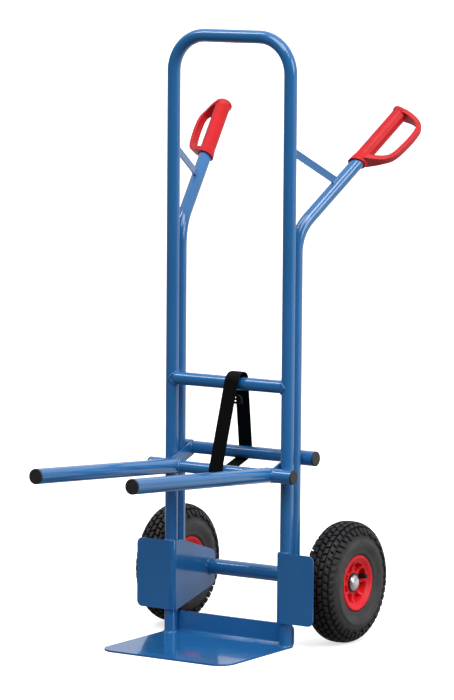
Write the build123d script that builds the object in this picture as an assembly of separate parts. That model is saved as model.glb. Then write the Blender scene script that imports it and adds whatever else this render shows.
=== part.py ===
from build123d import *
import os
from math import atan, cos, degrees, radians, sin, tan

# Hand truck for chairs and cases, in mm. X runs to the right, Y to the back and Z up.
# The sub-parts are drawn with Y = 0 in the plane of the two uprights and Z = 0 on the floor.
# At export everything moves back by SET_BACK, so the origin is on the floor, in the middle
# of the whole width and depth.
SET_BACK = 110.8

# Frame tubes
HEIGHT = 1300.0
WIDTH = 320.0
TUBE_D = 28.0
TUBE_WALL = 2.0
TUBE_R = TUBE_D / 2
UPRIGHT_X = (WIDTH - TUBE_D) / 2
TOP_BEND_R = 77.0
MID_TUBE_Z = 554.0

# Handle tubes: up the back of the uprights, then back and outwards
HANDLE_Y = TUBE_D
HANDLE_FOOT_Z = 66.0
HANDLE_CORNER_Z = 879.0
HANDLE_BEND_R = 90.0
HANDLE_SPREAD = 0.336          # sideways run for each unit of rise
HANDLE_REACH = 1.199           # backward run for each unit of rise
HANDLE_LENGTH = 380.0          # from the corner to the tube's end, inside the grip

# Braces from the uprights to the handle tubes, flat bar on edge
BRACE_TOP_Z = 1054.0
BRACE_ALONG_HANDLE = 156.0
BRACE_HEIGHT = 16.0
BRACE_THICKNESS = 4.0

# Sheet metal
SHEET = 3.0
GUARD_OUT_X = 223.0
GUARD_LOW_Z = 54.0
GUARD_TOP_Z = 204.0
GUARD_CORNER_R = 13.0
GUARD_FOLD_R = 8.0
GUARD_REAR_R = 17.0
GUARD_BEHIND_AXLE = 18.0
GUARD_REAR_LOW_Z = 90.0
GUARD_REAR_TOP_Z = 163.0
GUARD_KNEE_Y = 107.0           # where the side plate's top edge turns down
GUARD_KNEE_Z = 175.0
PLATE_T = 4.0
PLATE_FRONT_Y = -257.0
PLATE_CORNER_R = 38.0
PLATE_BEND_R = 7.0
FLANGE_TOP_Z = 48.0
FLANGE_CORNER_R = 12.0
FLANGE_INSET = 4.0             # at each end of the bent-up edge

# Wheels and axle
WHEEL_X = 214.1
AXLE_Y = 128.3
TYRE_R = 130.0
TYRE_WIDTH = 79.0
AXLE_Z = TYRE_R
AXLE_TUBE_D = 33.7
AXLE_TUBE_WALL = 3.0
AXLE_TUBE_END_X = 160.0
SHAFT_R = 10.0
SHAFT_END_X = 240.6
RUNNING_GAP = 0.05
BEAD_R = 50.8
RIM_LIP_R = 59.4
RIM_SEAT_X = 28.4
TYRE_SEAT_GAP = 0.1
RIM_HALF_WIDTH = 32.5
HUB_HALF_LENGTH = 19.2
HUB_R = 24.5
WELL_R = 44.0
WEB_FACE = 11.0
RIB_T = 6.0
VALVE_OUT = 18.0
VALVE_AXIS_R = 35.0
VALVE_END = 33.0
VALVE_CAP_R = 4.6
VALVE_TURN = -74.0             # the valve stands towards the back, this far from straight up
BEARING_R = 17.5
BEARING_FLANGE_R = 21.0
BEARING_FLANGE_T = 2.5
RIM_POCKETS = 8
POCKET_TURN = -68.0            # middle of one pocket, measured as VALVE_TURN is
RIM_SCREWS = 4
RIM_SCREW_R = 2.5
RIM_SCREW_CIRCLE_R = 34.0
PUSH_CAP_R = 17.0

# Carrier: two crossbars, one each side of the frame, and two arms
CARRIER_GAP = 0.4
FRONT_BAR_D = 25.0
REAR_BAR_D = 27.0
FRONT_SLEEVE_D = 30.0
REAR_SLEEVE_D = 32.0
SLEEVE_INNER_X = 134.6
CROSSBAR_HALF = 178.5
BAR_WALL = 2.0
FRONT_BAR_Y = -(TUBE_R + FRONT_SLEEVE_D / 2 + CARRIER_GAP)
REAR_BAR_Y = HANDLE_Y + TUBE_R + REAR_SLEEVE_D / 2 + CARRIER_GAP
FRONT_BAR_Z = 369.5
REAR_BAR_Z = 399.0
LINK_X = 129.0
LINK_THICKNESS = 4.0
LINK_HEIGHT = 29.0
ARM_D = 32.0
ARM_X = 118.0
ARM_TIP_Y = -548.0
ARM_RISE = 0.0774              # rise for each unit of forward run
ARM_LEAN = 0.017               # sideways run for each unit of forward run
CAP_HEAD_T = 3.5
CAP_PLUG_LENGTH = 14.0

# Strap looped over the middle tube and under both crossbars. Stiff webbing: over the tube it
# makes a bend wider than the tube, which bears on the tube's back.
STRAP_WIDTH = 35.0
STRAP_T = 2.0
STRAP_GAP = 0.3
STRAP_BEND_R = 19.4
STRAP_BEND_Y = -3.0
STRAP_BEND_Z = MID_TUBE_Z + 4.5
STRAP_TOP_X = 21.4
STRAP_TOP_Z = STRAP_BEND_Z + STRAP_BEND_R
STRAP_LOW_X = -9.2
STRAP_LOW_Z = FRONT_BAR_Z - FRONT_BAR_D / 2
STRAP_SKEW = -0.027            # sideways shift for each unit of depth
BUCKLE_Z = 521.0
BUCKLE_WIDTH = 43.0
BUCKLE_HEIGHT = 24.0
BUCKLE_T = 6.0
BUCKLE_OFFSET = 1.5            # sideways from the strap's middle

# Grips, measured along the handle tube from its corner and out from its axis
GRIP_START = 226.0
GRIP_LIP = 14.0                # how much further down the tube the collar reaches, opposite the bow
GRIP_END = 388.0
GRIP_R = 16.5
GRIP_FLANGE_R = 19.5
GRIP_FLANGE_T = 6.0
GUARD_TURN = -29.5             # the bow hangs this many degrees below level
BOW_OUT = 58.4
BOW_T = 11.0
BOW_WIDTH = 16.0


def export(name, solid):
    moved = Pos(0, SET_BACK, 0) * solid
    moved.label = name
    export_step(moved, f"parts/{name}.step")


def rod(start, end, radius):
    """A straight solid cylinder between two points."""
    start = Vector(*start)
    axis = Vector(*end) - start
    disc = Plane(origin=start, z_dir=axis) * Circle(radius)
    return extrude(disc, amount=axis.length)


def pipe(start, end, outer_d, wall):
    return rod(start, end, outer_d / 2) - rod(start, end, outer_d / 2 - wall)


def bent_tube(points, bend_r, outer_d, wall):
    path = FilletPolyline(*points, radius=bend_r)
    across = Plane(origin=path @ 0, z_dir=path % 0)
    ring = across * (Circle(outer_d / 2) - Circle(outer_d / 2 - wall))
    return sweep(ring, path=path)


def mirrored(solid, side):
    return solid if side > 0 else mirror(solid, about=Plane.YZ)


def turned(points):
    """A profile of (out along X, radius) points, turned about the X axis."""
    profile = make_face(Polyline(*points, close=True))
    return revolve(profile, axis=Axis.X)


# ---------------------------------------------------------------- frame tubes

def main_frame_tube():
    points = [(-UPRIGHT_X, 0, PLATE_T), (-UPRIGHT_X, 0, HEIGHT - TUBE_R),
              (UPRIGHT_X, 0, HEIGHT - TUBE_R), (UPRIGHT_X, 0, PLATE_T)]
    return bent_tube(points, TOP_BEND_R, TUBE_D, TUBE_WALL) - toe_plate()


def upright_solid(side):
    return rod((side * UPRIGHT_X, 0, 0), (side * UPRIGHT_X, 0, HEIGHT - TOP_BEND_R), TUBE_R)


def handle_direction():
    return Vector(HANDLE_SPREAD, HANDLE_REACH, 1).normalized()


def handle_point(along):
    return Vector(UPRIGHT_X, HANDLE_Y, HANDLE_CORNER_Z) + handle_direction() * along


def handle_tube():
    points = [(UPRIGHT_X, HANDLE_Y, HANDLE_FOOT_Z), (UPRIGHT_X, HANDLE_Y, HANDLE_CORNER_Z),
              tuple(handle_point(HANDLE_LENGTH))]
    return bent_tube(points, HANDLE_BEND_R, TUBE_D, TUBE_WALL)


def mid_cross_tube():
    tube = pipe((-UPRIGHT_X, 0, MID_TUBE_Z), (UPRIGHT_X, 0, MID_TUBE_Z), TUBE_D, TUBE_WALL)
    return tube - upright_solid(-1) - upright_solid(1)


def handle_brace():
    top = Vector(UPRIGHT_X, 0, BRACE_TOP_Z)
    low = handle_point(BRACE_ALONG_HANDLE)
    along = (low - top).normalized()
    level = along.cross(Vector(0, 0, 1)).normalized()
    across = Plane(origin=top, x_dir=level, z_dir=along)
    bar = extrude(across * Rectangle(BRACE_THICKNESS, BRACE_HEIGHT), amount=(low - top).length)
    straight = rod(handle_point(40), handle_point(HANDLE_LENGTH), TUBE_R)
    return bar - upright_solid(1) - straight


# ---------------------------------------------------------------- sheet metal

def bracket():
    """Wheel guard in front, folded round the upright into the plate that carries the axle."""
    middle_y = -TUBE_R - SHEET / 2
    middle_x = UPRIGHT_X - TUBE_R - SHEET / 2
    rear_y = AXLE_Y + GUARD_BEHIND_AXLE
    path = FilletPolyline((GUARD_OUT_X, middle_y, GUARD_LOW_Z), (middle_x, middle_y, GUARD_LOW_Z),
                          (middle_x, rear_y, GUARD_LOW_Z), radius=GUARD_FOLD_R + SHEET / 2)
    height = GUARD_TOP_Z - GUARD_LOW_Z
    start = Plane(origin=path @ 0, x_dir=(0, 0, 1), z_dir=path % 0)
    sheet = sweep(start * Pos(height / 2, 0) * Rectangle(height, SHEET), path=path)
    front = Pos(GUARD_OUT_X / 2, 0, (GUARD_TOP_Z + GUARD_LOW_Z) / 2) * Box(GUARD_OUT_X, 400, height)
    outer_edges = front.edges().filter_by(Axis.Y).group_by(Axis.X)[-1]
    front = fillet(outer_edges, GUARD_CORNER_R)
    low_edge = [(-40, GUARD_LOW_Z), (4, GUARD_LOW_Z), (rear_y, GUARD_REAR_LOW_Z)]
    top_edge = [(rear_y, GUARD_REAR_TOP_Z), (GUARD_KNEE_Y, GUARD_KNEE_Z), (12, GUARD_TOP_Z), (-40, GUARD_TOP_Z)]
    outline = Polyline(*low_edge, *top_edge, close=True)
    side_face = make_face(outline)
    rear_corners = side_face.vertices().filter_by_position(Axis.X, 100, rear_y + 1)
    side_face = fillet(rear_corners, GUARD_REAR_R)
    side = extrude(Plane.YZ * side_face, amount=GUARD_OUT_X + 1)
    axle_hole = rod((0, AXLE_Y, AXLE_Z), (AXLE_TUBE_END_X, AXLE_Y, AXLE_Z), AXLE_TUBE_D / 2)
    return sheet & front & side - axle_hole


def toe_plate():
    """Load plate on the floor, with its back edge bent up behind the uprights."""
    flange_y = TUBE_R + PLATE_T / 2
    path = FilletPolyline((0, PLATE_FRONT_Y, PLATE_T / 2), (0, flange_y, PLATE_T / 2),
                          (0, flange_y, FLANGE_TOP_Z), radius=PLATE_BEND_R + PLATE_T / 2)
    start = Plane(origin=path @ 0, x_dir=(1, 0, 0), z_dir=path % 0)
    sheet = sweep(start * Rectangle(WIDTH, PLATE_T), path=path)
    depth = flange_y + PLATE_T - PLATE_FRONT_Y
    footprint = Pos(0, PLATE_FRONT_Y + depth / 2, 50) * Box(WIDTH, depth, 200)
    front_edges = footprint.edges().filter_by(Axis.Z).group_by(Axis.Y)[0]
    footprint = fillet(front_edges, PLATE_CORNER_R)
    flange = Pos(0, 0, FLANGE_TOP_Z / 2) * Box(WIDTH - 2 * FLANGE_INSET, 700, FLANGE_TOP_Z)
    top_edges = flange.edges().filter_by(Axis.Y).group_by(Axis.Z)[-1]
    in_front = Pos(0, -350 + flange_y - PLATE_BEND_R - PLATE_T, 0) * Box(WIDTH, 700, 60)
    flange = fillet(top_edges, FLANGE_CORNER_R) + in_front
    return sheet & footprint & flange


# ---------------------------------------------------------------- axle and wheels

def axle_tube():
    return pipe((-AXLE_TUBE_END_X, AXLE_Y, AXLE_Z), (AXLE_TUBE_END_X, AXLE_Y, AXLE_Z),
                AXLE_TUBE_D, AXLE_TUBE_WALL)


def on_axle(solid, side):
    """Moves a turned piece, drawn about X with its outer side towards +X, to a wheel's centre."""
    return Pos(side * WHEEL_X, AXLE_Y, AXLE_Z) * mirrored(solid, side)


def axle_shaft():
    shaft = rod((-SHAFT_END_X, AXLE_Y, AXLE_Z), (SHAFT_END_X, AXLE_Y, AXLE_Z), SHAFT_R)
    return chamfer(shaft.edges().filter_by(GeomType.CIRCLE), 1)


def axle_bush():
    inner_r = AXLE_TUBE_D / 2 - AXLE_TUBE_WALL
    end = (AXLE_TUBE_END_X, AXLE_Y, AXLE_Z)
    start = (AXLE_TUBE_END_X - 14, AXLE_Y, AXLE_Z)
    return rod(start, end, inner_r) - rod(start, end, SHAFT_R)


def spacer():
    """Steel sleeve on the shaft between the axle tube and the wheel's bearing."""
    wheel_side = WHEEL_X - HUB_HALF_LENGTH - BEARING_FLANGE_T - 0.4
    start = (AXLE_TUBE_END_X, AXLE_Y, AXLE_Z)
    end = (wheel_side, AXLE_Y, AXLE_Z)
    return rod(start, end, 15) - rod(start, end, SHAFT_R)


def push_cap():
    """Domed spring-steel cap pressed on the end of the shaft."""
    seat = HUB_HALF_LENGTH + BEARING_FLANGE_T + 0.4
    tip = SHAFT_END_X - WHEEL_X
    dome = [(tip - 1, 12.6), (tip + 1.4, 9.5), (tip + 2.2, 5), (tip + 2.4, 0)]
    hollow = [(tip + 1.2, 0), (tip + 0.2, 7), (tip, SHAFT_R - 1), (tip - 1, SHAFT_R)]
    brim = [(seat, SHAFT_R), (seat, PUSH_CAP_R), (seat + 1.2, PUSH_CAP_R), (seat + 1.8, 13.8)]
    return turned(brim + dome + hollow)


def tyre():
    half = TYRE_WIDTH / 2
    bead_r = BEAD_R + TYRE_SEAT_GAP
    bead_x = RIM_SEAT_X - TYRE_SEAT_GAP
    outside = [(bead_x, bead_r), (bead_x, RIM_LIP_R + 0.6), (35, 68), (half - 1, 77), (half, 87),
               (half - 1.2, 98), (34.4, 110.5), (28.2, 119.8), (20, 126.3), (10, 129.4), (0, TYRE_R)]
    inside = [(0, 119), (15, 117), (24, 110), (31, 100), (34, 89), (32, 78), (26, 68), (22, bead_r)]
    other_outside = [(-a, r) for a, r in reversed(outside[:-1])]
    other_inside = [(-a, r) for a, r in reversed(inside[1:])]
    ring = turned(outside + other_outside + other_inside + inside)
    for groove_x in (-13, 13):
        groove = Pos(groove_x, 0, 0) * turned([(-2, 123), (-2, 140), (2, 140), (2, 123)])
        ring = ring - groove
    return ring


def inner_tube():
    """Thin rubber tube inside the tyre, with its valve stem through the rim."""
    return Rot(0, 90, 0) * (Torus(84.5, 24) - Torus(84.5, 22))


def valve():
    """Angled valve: through the rim well, then out parallel to the axle, with a cap on its end."""
    elbow = (VALVE_OUT, 0, VALVE_AXIS_R)
    stem = rod((VALVE_OUT, 0, BEAD_R + 1), elbow, 4)
    outlet = rod((VALVE_OUT - 4, 0, VALVE_AXIS_R), (VALVE_END - 8, 0, VALVE_AXIS_R), 4)
    cap = rod((VALVE_END - 12, 0, VALVE_AXIS_R), (VALVE_END, 0, VALVE_AXIS_R), VALVE_CAP_R)
    cap = fillet(cap.edges().filter_by(GeomType.CIRCLE).group_by(Axis.X)[-1], 1)
    return Rot(VALVE_TURN, 0, 0) * (stem + outlet + cap)


def rim_half():
    """One half of the two-part rim: hub, well, dished lip and a web with pockets between ribs."""
    lip = RIM_HALF_WIDTH
    hub = [(0, BEARING_R), (HUB_HALF_LENGTH, BEARING_R), (HUB_HALF_LENGTH, HUB_R), (WEB_FACE, HUB_R)]
    dish = [(WEB_FACE, WELL_R), (lip - 7.5, WELL_R), (lip - 4.5, 47), (lip - 1, 54), (lip, 56)]
    edge = [(lip, RIM_LIP_R - 1.5), (lip - 1.5, RIM_LIP_R), (RIM_SEAT_X, RIM_LIP_R)]
    body = turned(hub + dish + edge + [(RIM_SEAT_X, BEAD_R), (0, BEAD_R)])
    rib_height = WELL_R - HUB_R + 2
    rib_depth = HUB_HALF_LENGTH + 3 - WEB_FACE
    rib = Pos(WEB_FACE + rib_depth / 2, 0, (WELL_R + HUB_R) / 2) * Box(rib_depth + 2, RIB_T, rib_height)
    for i in range(RIM_POCKETS):
        body = body + Rot(POCKET_TURN + (i + 0.5) * 360 / RIM_POCKETS, 0, 0) * rib
    return body


def screw_places():
    return [Rot(POCKET_TURN + (i + 0.5) * 360 / RIM_SCREWS, 0, 0) * Pos(0, 0, RIM_SCREW_CIRCLE_R)
            for i in range(RIM_SCREWS)]


def hub_bearing():
    """Roller-bearing cage through the hub, with a black retaining flange at each end."""
    end = HUB_HALF_LENGTH
    bore = SHAFT_R + RUNNING_GAP
    return turned([(-end - BEARING_FLANGE_T, bore), (-end - BEARING_FLANGE_T, BEARING_FLANGE_R),
                   (-end, BEARING_FLANGE_R), (-end, BEARING_R), (end, BEARING_R),
                   (end, BEARING_FLANGE_R), (end + BEARING_FLANGE_T, BEARING_FLANGE_R),
                   (end + BEARING_FLANGE_T, bore)])


def rim_screw():
    """One of the screws that clamp the rim halves together, head on the inner side."""
    head = Pos(-WEB_FACE - 2, 0, 0) * Rot(0, 90, 0) * Cylinder(4.5, 4)
    shank = Rot(0, 90, 0) * Cylinder(RIM_SCREW_R, 2 * WEB_FACE)
    return head + shank


# ---------------------------------------------------------------- carrier

def crossbar(y, z, bar_d):
    return pipe((-CROSSBAR_HALF, y, z), (CROSSBAR_HALF, y, z), bar_d, BAR_WALL)


def sleeve(y, z, bar_d, sleeve_d):
    """Guide sleeve on the end of a crossbar, where it bears on the frame tubes."""
    start = (SLEEVE_INNER_X, y, z)
    end = (CROSSBAR_HALF, y, z)
    return rod(start, end, sleeve_d / 2) - rod(start, end, bar_d / 2)


def end_cap(head_d, bore_d):
    """Plastic plug with a flat rounded head, drawn with its head towards +X."""
    head = Pos(CAP_HEAD_T / 2, 0, 0) * Rot(0, 90, 0) * Cylinder(head_d / 2, CAP_HEAD_T)
    head = fillet(head.edges().group_by(Axis.X)[-1], 1.6)
    plug = Pos(-CAP_PLUG_LENGTH / 2, 0, 0) * Rot(0, 90, 0) * Cylinder(bore_d / 2, CAP_PLUG_LENGTH)
    hollow = Pos(-CAP_PLUG_LENGTH / 2 - 1, 0, 0) * Rot(0, 90, 0) * Cylinder(bore_d / 2 - 2, CAP_PLUG_LENGTH)
    return head + plug - hollow


def arm_direction():
    return Vector(ARM_LEAN, -1, ARM_RISE).normalized()


def arm_ends(side):
    base = Vector(side * ARM_X, FRONT_BAR_Y, FRONT_BAR_Z)
    reach = (FRONT_BAR_Y - ARM_TIP_Y) * (1 + ARM_RISE ** 2 + ARM_LEAN ** 2) ** 0.5
    return base, base + arm_direction() * reach


def arm(side):
    base, tip = arm_ends(side)
    tube = pipe(base, tip, ARM_D, TUBE_WALL)
    bar = rod((-CROSSBAR_HALF, FRONT_BAR_Y, FRONT_BAR_Z), (CROSSBAR_HALF, FRONT_BAR_Y, FRONT_BAR_Z),
              FRONT_BAR_D / 2)
    return tube - bar


def arm_cap(side):
    tip = arm_ends(side)[1]
    along = arm_direction()
    place = Plane(origin=tip, x_dir=along, z_dir=along.cross(Vector(1, 0, 0))).location
    return place * end_cap(ARM_D, ARM_D - 2 * TUBE_WALL)


def crossbar_cap(side, y, z, sleeve_d, bar_d):
    return Pos(side * CROSSBAR_HALF, y, z) * mirrored(end_cap(sleeve_d, bar_d - 2 * BAR_WALL), side)


def carrier_link(side):
    """Flat bar between the two crossbars, just inside the upright."""
    front = Vector(side * LINK_X, FRONT_BAR_Y, FRONT_BAR_Z)
    rear = Vector(side * LINK_X, REAR_BAR_Y, REAR_BAR_Z)
    along = rear - front
    across = Plane(origin=front, x_dir=(1, 0, 0), z_dir=along)
    bar = extrude(across * Rectangle(LINK_THICKNESS, LINK_HEIGHT), amount=along.length)
    for y, z, d in ((FRONT_BAR_Y, FRONT_BAR_Z, FRONT_BAR_D), (REAR_BAR_Y, REAR_BAR_Z, REAR_BAR_D)):
        bar = bar - rod((side * CROSSBAR_HALF, y, z), (0, y, z), d / 2)
    return trimmed_link(bar)


def trimmed_link(bar):
    """Keeps only the stretch between the crossbars' axes."""
    depth = REAR_BAR_Y - FRONT_BAR_Y - 2 * LINK_THICKNESS
    keep = Pos(0, (FRONT_BAR_Y + REAR_BAR_Y) / 2, 0) * Box(400, depth, 1600)
    return bar & keep


# ---------------------------------------------------------------- strap

def tangent_run(c1, r1, c2, r2):
    """End points of the common outer tangent of two circles, on the left of c1 -> c2."""
    (y1, z1), (y2, z2) = c1, c2
    dy = y2 - y1
    dz = z2 - z1
    length = (dy ** 2 + dz ** 2) ** 0.5
    slope = (r1 - r2) / length
    rise = (1 - slope ** 2) ** 0.5
    ny = (dy * slope - dz * rise) / length
    nz = (dz * slope + dy * rise) / length
    return (y1 + r1 * ny, z1 + r1 * nz), (y2 + r2 * ny, z2 + r2 * nz)


def loop_face(extra):
    """Outline of a belt round the middle tube and both crossbars, `extra` off their surfaces."""
    circles = [((STRAP_BEND_Y, STRAP_BEND_Z), STRAP_BEND_R + extra),
               ((FRONT_BAR_Y, FRONT_BAR_Z), FRONT_BAR_D / 2 + extra),
               ((REAR_BAR_Y, REAR_BAR_Z), REAR_BAR_D / 2 + extra)]
    corners = []
    shape = None
    for i in range(3):
        c1, r1 = circles[i]
        c2, r2 = circles[(i + 1) % 3]
        a, b = tangent_run(c2, r2, c1, r1)
        corners += [b, a]
        disc = Pos(c1[0], c1[1]) * Circle(r1)
        shape = disc if shape is None else shape + disc
    return shape + make_face(Polyline(*corners, close=True))


def strap_middle_x(z):
    lean = (STRAP_TOP_X - STRAP_LOW_X) / (STRAP_TOP_Z - STRAP_LOW_Z)
    return STRAP_LOW_X + lean * (z - STRAP_LOW_Z)


def strap():
    """Webbing loop, cut from a belt that leans sideways from top to bottom."""
    belt = loop_face(STRAP_GAP + STRAP_T) - loop_face(STRAP_GAP)
    solid = extrude(Plane.YZ.offset(-100) * belt, amount=200)
    half = STRAP_WIDTH / 2
    low_z = STRAP_LOW_Z - 20
    top_z = STRAP_TOP_Z + 20
    low_x = strap_middle_x(low_z)
    top_x = strap_middle_x(top_z)
    outline = Polyline((low_x - half, low_z), (low_x + half, low_z), (top_x + half, top_z),
                       (top_x - half, top_z), close=True)
    face = Plane.XZ * make_face(outline)
    behind = extrude(face, amount=200, dir=(STRAP_SKEW, 1, 0))
    in_front = extrude(face, amount=200, dir=(-STRAP_SKEW, -1, 0))
    return solid & (behind + in_front)


def strap_buckle():
    """Slide buckle on the rear leg of the strap: a flat frame with a middle bar."""
    upper_r = STRAP_BEND_R + STRAP_GAP
    lower_r = REAR_BAR_D / 2 + STRAP_GAP
    low, top = tangent_run((REAR_BAR_Y, REAR_BAR_Z), lower_r, (STRAP_BEND_Y, STRAP_BEND_Z), upper_r)
    share = (BUCKLE_Z - top[1]) / (low[1] - top[1])
    y = top[0] + share * (low[0] - top[0])
    lean_back = degrees(atan((low[0] - top[0]) / (top[1] - low[1])))
    x = strap_middle_x(BUCKLE_Z) + STRAP_SKEW * y + BUCKLE_OFFSET
    plate = Box(BUCKLE_WIDTH, BUCKLE_T, BUCKLE_HEIGHT)
    plate = fillet(plate.edges().filter_by(Axis.Y), 3)
    slot = Pos(-BUCKLE_OFFSET, 0, 0) * Box(STRAP_WIDTH + 3, STRAP_T + 0.4, BUCKLE_HEIGHT + 2)
    return Pos(x, y + STRAP_T / 2, BUCKLE_Z) * Rot(lean_back, 0, 0) * (plate - slot)


# ---------------------------------------------------------------- grips

def grip():
    """Hand grip with a knuckle bow, drawn along X from the handle's corner, bow towards +Y."""
    foot = GRIP_START - GRIP_LIP - 2
    collar = [(foot, 0), (foot, GRIP_FLANGE_R - 0.5), (GRIP_START + 2, GRIP_R + 1.5),
              (GRIP_START + 14, GRIP_R)]
    flange = [(GRIP_END - GRIP_FLANGE_T - 8, GRIP_R), (GRIP_END - GRIP_FLANGE_T, GRIP_FLANGE_R),
              (GRIP_END - 3, GRIP_FLANGE_R), (GRIP_END, GRIP_FLANGE_R - 4), (GRIP_END, 0)]
    core = turned(collar + flange)
    middle = Spline((GRIP_START + 8, 8), (248, 30), (270, 51.5), (300, BOW_OUT), (352, BOW_OUT + 1),
                    (373, 53), (382, 31), (382, 8))
    bow = trace(middle, line_width=BOW_T)
    band = extrude(bow, amount=GRIP_FLANGE_R, both=True)
    taper = make_face(Polyline((0, 0), (0, GRIP_R), (14, GRIP_R), (BOW_OUT - 12, BOW_WIDTH / 2),
                               (BOW_OUT + 20, BOW_WIDTH / 2), (BOW_OUT + 20, 0), close=True))
    side = extrude(Plane.YZ.offset(GRIP_START) * taper, amount=GRIP_END - GRIP_START)
    band = band & (side + mirror(side, about=Plane.XY))
    bore = Pos(HANDLE_LENGTH - 100, 0, 0) * Rot(0, 90, 0) * Cylinder(TUBE_R, 200)
    slope = GRIP_LIP / (2 * GRIP_FLANGE_R)
    below = Polyline((100, -60), (GRIP_START - GRIP_LIP / 2 - 60 * slope, -60),
                     (GRIP_START - GRIP_LIP / 2 + 60 * slope, 60), (100, 60), close=True)
    collar_cut = extrude(make_face(below), amount=60, both=True)
    return core + band - bore - collar_cut


def placed_grip():
    along = handle_direction()
    level = along.cross(Vector(0, 0, 1)).normalized()
    up = level.cross(along).normalized()
    out = level * cos(radians(GUARD_TURN)) + up * sin(radians(GUARD_TURN))
    place = Plane(origin=handle_point(0), x_dir=along, z_dir=along.cross(out))
    return place.location * grip()


# ---------------------------------------------------------------- export

def export_frame():
    export("main_frame_tube", main_frame_tube())
    export("mid_cross_tube", mid_cross_tube())
    export("axle_tube", axle_tube())
    export("axle_shaft", axle_shaft())
    export("toe_plate", toe_plate())
    pieces = {"handle_tube": handle_tube(), "handle_brace": handle_brace(), "bracket": bracket(),
              "axle_bush": axle_bush(), "axle_spacer": spacer(), "grip": placed_grip()}
    for side, word in ((-1, "left"), (1, "right")):
        for name, solid in pieces.items():
            export(f"{name}_{word}", mirrored(solid, side))
        export(f"push_cap_{word}", on_axle(push_cap(), side))


def export_wheels():
    outer = rim_half()
    inner = mirror(outer, about=Plane.YZ)
    screws = [place * rim_screw() for place in screw_places()]
    holes = [place * Rot(0, 90, 0) * Cylinder(RIM_SCREW_R, 2 * WEB_FACE) for place in screw_places()]
    opening = Rot(VALVE_TURN, 0, 0) * rod((VALVE_OUT, 0, BEAD_R + 2), (VALVE_OUT, 0, WELL_R - 2), 4)
    for hole in holes:
        outer = outer - hole
        inner = inner - hole
    outer = outer - opening
    for side, word in ((-1, "left"), (1, "right")):
        export(f"tyre_{word}", on_axle(tyre(), side))
        export(f"inner_tube_{word}", on_axle(inner_tube(), side))
        export(f"valve_{word}", on_axle(valve(), side))
        export(f"rim_outer_{word}", on_axle(outer, side))
        export(f"rim_inner_{word}", on_axle(inner, side))
        export(f"rim_screws_{word}", on_axle(Compound(children=screws), side))
        export(f"hub_bearing_{word}", on_axle(hub_bearing(), side))


def export_carrier():
    rows = {"front": (FRONT_BAR_Y, FRONT_BAR_Z, FRONT_BAR_D, FRONT_SLEEVE_D),
            "rear": (REAR_BAR_Y, REAR_BAR_Z, REAR_BAR_D, REAR_SLEEVE_D)}
    for row, (y, z, bar_d, sleeve_d) in rows.items():
        export(f"{row}_crossbar", crossbar(y, z, bar_d))
        for side, word in ((-1, "left"), (1, "right")):
            export(f"{row}_sleeve_{word}", mirrored(sleeve(y, z, bar_d, sleeve_d), side))
            export(f"{row}_cap_{word}", crossbar_cap(side, y, z, sleeve_d, bar_d))
    for side, word in ((-1, "left"), (1, "right")):
        export(f"carrier_link_{word}", carrier_link(side))
        export(f"arm_{word}", arm(side))
        export(f"arm_cap_{word}", arm_cap(side))


os.makedirs("parts", exist_ok=True)
export_frame()
export_wheels()
export_carrier()
export("strap", strap())
export("strap_buckle", strap_buckle())
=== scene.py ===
from math import atan2, cos, pi, radians, sin, sqrt, tau

import bmesh
import bpy
from mathutils import Matrix, Vector


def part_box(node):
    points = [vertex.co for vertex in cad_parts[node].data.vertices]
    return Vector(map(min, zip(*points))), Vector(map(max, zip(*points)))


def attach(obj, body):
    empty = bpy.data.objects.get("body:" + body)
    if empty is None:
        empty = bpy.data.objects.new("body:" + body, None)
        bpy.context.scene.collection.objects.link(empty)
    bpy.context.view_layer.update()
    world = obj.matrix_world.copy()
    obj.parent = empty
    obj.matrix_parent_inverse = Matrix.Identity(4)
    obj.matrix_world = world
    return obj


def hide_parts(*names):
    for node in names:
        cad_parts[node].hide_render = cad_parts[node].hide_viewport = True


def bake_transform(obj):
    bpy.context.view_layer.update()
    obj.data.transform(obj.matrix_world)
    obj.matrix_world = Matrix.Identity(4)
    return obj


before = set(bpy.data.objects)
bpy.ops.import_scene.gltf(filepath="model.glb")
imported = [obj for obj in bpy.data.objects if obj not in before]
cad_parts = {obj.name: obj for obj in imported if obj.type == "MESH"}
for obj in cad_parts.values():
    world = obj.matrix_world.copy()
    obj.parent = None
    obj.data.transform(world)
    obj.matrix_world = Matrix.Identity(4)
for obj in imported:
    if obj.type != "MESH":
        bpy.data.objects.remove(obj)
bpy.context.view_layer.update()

# Looks of a blue hand truck: paint, weld beads, moulded grips, wheels with block tread, webbing strap.
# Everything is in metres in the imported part's frame: X to the right, Y to the back, Z up.
MM = 0.001
SIDES = ((-1, "left"), (1, "right"))


# ---------------------------------------------------------------- sizes read from the frame

def middle(node):
    low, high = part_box(node)
    return (low + high) / 2


def size(node):
    low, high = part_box(node)
    return high - low


TUBE_R = size("mid_cross_tube").z / 2
UPRIGHT_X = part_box("main_frame_tube")[1].x - TUBE_R
UPRIGHT_Y = middle("mid_cross_tube").y
MID_TUBE_Z = middle("mid_cross_tube").z
PLATE_T = 4 * MM
SHEET_T = 3 * MM
FRONT_BAR = middle("front_crossbar")
FRONT_BAR_R = size("front_crossbar").z / 2
REAR_BAR = middle("rear_crossbar")
REAR_BAR_R = size("rear_crossbar").z / 2
AXLE = middle("axle_tube")
AXLE_TUBE_R = size("axle_tube").z / 2
TYRE_R = size("tyre_right").z / 2


# ---------------------------------------------------------------- node helpers

def add(mat, kind, inputs=None, **settings):
    """One shader node; inputs are values, or sockets to link from."""
    node = mat.node_tree.nodes.new(kind)
    for key, value in settings.items():
        setattr(node, key, value)
    for key, value in (inputs or {}).items():
        if isinstance(value, bpy.types.NodeSocket):
            mat.node_tree.links.new(value, node.inputs[key])
        else:
            node.inputs[key].default_value = value
    return node


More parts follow.
